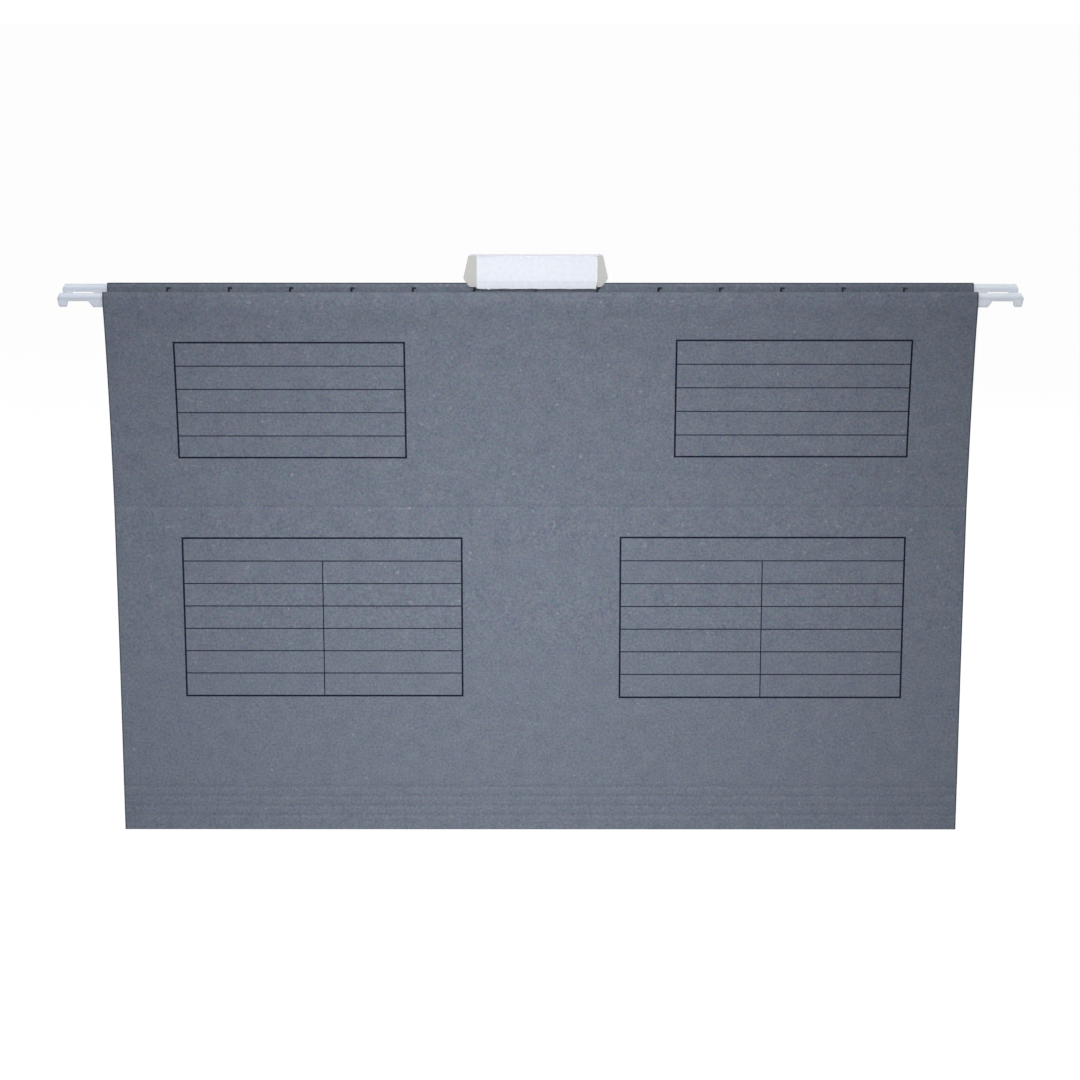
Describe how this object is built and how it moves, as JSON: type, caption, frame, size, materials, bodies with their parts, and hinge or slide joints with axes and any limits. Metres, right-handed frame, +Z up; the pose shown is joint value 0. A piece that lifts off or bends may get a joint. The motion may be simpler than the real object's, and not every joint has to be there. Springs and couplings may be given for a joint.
{
  "type": "hanging file folder",
  "caption": "Scored card folder that hangs by hook-ended rails in its top hems, with a clear index tab and label clipped to the back hem.",
  "frame": {"origin": "midway between the two hook seats of the back rail, on the line that hangs on the cabinet's rails", "axes": "+X along the rails to the right as seen from the front, +Y from the front panel to the back panel, +Z up"},
  "size_m": [0.405, 0.0193, 0.2575],
  "materials": {
    "manila_card": "matt, fibrous",
    "rail_plastic": "translucent white, satin",
    "clear_tab": "clear, glossy",
    "label_paper": "smooth white",
    "hem_adhesive": "dried adhesive"
  },
  "bodies": {
    "back": {"back_panel": "manila_card", "back_rail": "rail_plastic", "back_hem_glue": "hem_adhesive"},
    "back_base": {"back_base": "manila_card"},
    "front_base": {"front_base": "manila_card"},
    "front_strip": {"front_strip": "manila_card"},
    "front_lower": {"front_lower_panel": "manila_card"},
    "front_upper": {"front_upper_panel": "manila_card", "front_rail": "rail_plastic", "front_hem_glue": "hem_adhesive"},
    "index_tab": {"index_tab": "clear_tab"},
    "label": {"label_insert": "label_paper"}
  },
  "joints": [
    {"name": "base_spread", "type": "hinge", "parent": "back", "child": "back_base", "pos_m": [0, 0.0012, -0.22575], "axis": [-1, 0, 0], "range_deg": [0, 90]},
    {"name": "bottom_fold", "type": "hinge", "parent": "back_base", "child": "front_base", "pos_m": [0, 0.0009, -0.24125], "axis": [-1, 0, 0], "range_deg": [-180, 0]},
    {"name": "front_base_fold", "type": "hinge", "parent": "front_base", "child": "front_strip", "pos_m": [0, 0.00038, -0.22575], "axis": [-1, 0, 0], "range_deg": [0, 90]},
    {"name": "front_swing", "type": "hinge", "parent": "front_strip", "child": "front_lower", "pos_m": [0, -0.00003, -0.22135], "axis": [1, 0, 0], "range_deg": [0, 150]},
    {"name": "upper_fold", "type": "hinge", "parent": "front_lower", "child": "front_upper", "pos_m": [0, -0.00181, -0.09376], "axis": [1, 0, 0], "range_deg": [0, 150]},
    {"name": "tab_pull", "type": "slide", "parent": "back", "child": "index_tab", "axis": [0, -0.6, 0.8], "range_m": [0, 0.03]},
    {"name": "label_slide", "type": "slide", "parent": "index_tab", "child": "label", "axis": [1, 0, 0], "range_m": [0, 0.06]}
  ],
  "couplings": [
    {"joint": "bottom_fold", "follows": "base_spread", "ratio": -2},
    {"joint": "front_base_fold", "follows": "base_spread", "ratio": 1}
  ]
}
